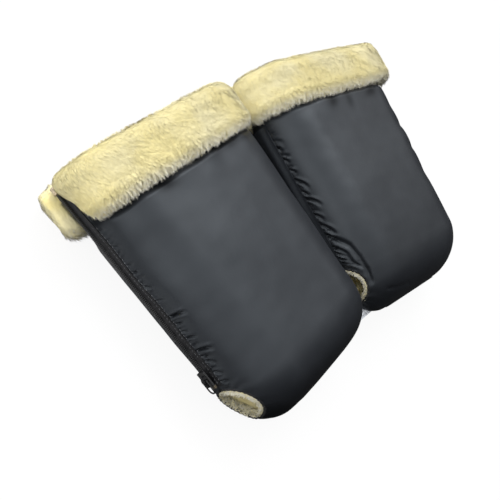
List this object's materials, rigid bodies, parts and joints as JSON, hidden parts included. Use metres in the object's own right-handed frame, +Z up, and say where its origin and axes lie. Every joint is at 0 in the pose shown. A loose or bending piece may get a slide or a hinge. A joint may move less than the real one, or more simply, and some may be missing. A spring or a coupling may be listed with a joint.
{
  "type": "stroller hand muff",
  "caption": "Pair of padded hand mitts for a pram handlebar, with turned-out plush cuffs, side zips, side bar slots and front halves that fold open.",
  "frame": {"origin": "middle of the pair's footprint, on the surface that the back halves lie on", "axes": "+X across the pair from the left mitt to the right mitt, +Y from the feet of the mitts to their hand openings, +Z up from the backs to the fronts"},
  "size_m": [0.468, 0.2984, 0.0907],
  "materials": {
    "black_nylon": "satin woven nylon",
    "white_wadding": "soft fibre fill",
    "cream_plush": "deep pile",
    "black_tape": "matt woven tape",
    "hook_tape": "matt hook and loop",
    "grey_tab": "matt webbing",
    "black_coil": "moulded zip teeth",
    "zip_metal": "bright metal",
    "black_zip_metal": "gloss black enamel"
  },
  "bodies": {
    "back_halves": {"joining_tab": "grey_tab", "left_back_shell": "black_nylon", "left_back_wadding": "white_wadding", "left_back_lining": "cream_plush", "left_back_cuff": "cream_plush", "left_back_inner_slot_binding": "black_tape", "left_back_outer_slot_binding": "black_tape", "left_loop_strip": "hook_tape", "left_zip_tape_back": "black_tape", "left_zip_teeth_back": "black_coil", "left_zip_stop_back": "zip_metal", "left_zip_box": "zip_metal", "right_back_shell": "black_nylon", "right_back_wadding": "white_wadding", "right_back_lining": "cream_plush", "right_back_cuff": "cream_plush", "right_back_inner_slot_binding": "black_tape", "right_back_outer_slot_binding": "black_tape", "right_loop_strip": "hook_tape", "right_zip_tape_back": "black_tape", "right_zip_teeth_back": "black_coil", "right_zip_stop_back": "zip_metal", "right_zip_box": "zip_metal"},
    "left_front_half": {"left_front_shell": "black_nylon", "left_front_wadding": "white_wadding", "left_front_lining": "cream_plush", "left_front_cuff": "cream_plush", "left_front_inner_slot_binding": "black_tape", "left_front_outer_slot_binding": "black_tape", "left_placket": "black_nylon", "left_hook_strip": "hook_tape", "left_zip_tape_front": "black_tape", "left_zip_teeth_front": "black_coil", "left_zip_stop_front": "zip_metal", "left_zip_pin": "zip_metal"},
    "right_front_half": {"right_front_shell": "black_nylon", "right_front_wadding": "white_wadding", "right_front_lining": "cream_plush", "right_front_cuff": "cream_plush", "right_front_inner_slot_binding": "black_tape", "right_front_outer_slot_binding": "black_tape", "right_placket": "black_nylon", "right_hook_strip": "hook_tape", "right_zip_tape_front": "black_tape", "right_zip_teeth_front": "black_coil", "right_zip_stop_front": "zip_metal", "right_zip_pin": "zip_metal"},
    "left_slider": {"left_zip_slider": "black_zip_metal"},
    "right_slider": {"right_zip_slider": "black_zip_metal"},
    "left_pull": {"left_zip_pull": "black_zip_metal"},
    "right_pull": {"right_zip_pull": "black_zip_metal"}
  },
  "joints": [
    {"name": "left_front_fold", "type": "hinge", "parent": "back_halves", "child": "left_front_half", "pos_m": [-0.09239, -0.14948, 0.0403], "axis": [1, 0, 0], "range_deg": [0, 150]},
    {"name": "right_front_fold", "type": "hinge", "parent": "back_halves", "child": "right_front_half", "pos_m": [0.09239, -0.14948, 0.0403], "axis": [1, 0, 0], "range_deg": [0, 150]},
    {"name": "left_zip_slide", "type": "slide", "parent": "back_halves", "child": "left_slider", "axis": [-0.1442, 0.9896, 0], "range_m": [0, 0.186]},
    {"name": "right_zip_slide", "type": "slide", "parent": "back_halves", "child": "right_slider", "axis": [0.1442, 0.9896, 0], "range_m": [0, 0.186]},
    {"name": "left_pull_swing", "type": "hinge", "parent": "left_slider", "child": "left_pull", "pos_m": [-0.20186, -0.08233, 0.0403], "axis": [0, 0, -1], "range_deg": [0, 180]},
    {"name": "right_pull_swing", "type": "hinge", "parent": "right_slider", "child": "right_pull", "pos_m": [0.20186, -0.08233, 0.0403], "axis": [0, 0, 1], "range_deg": [0, 180]}
  ]
}
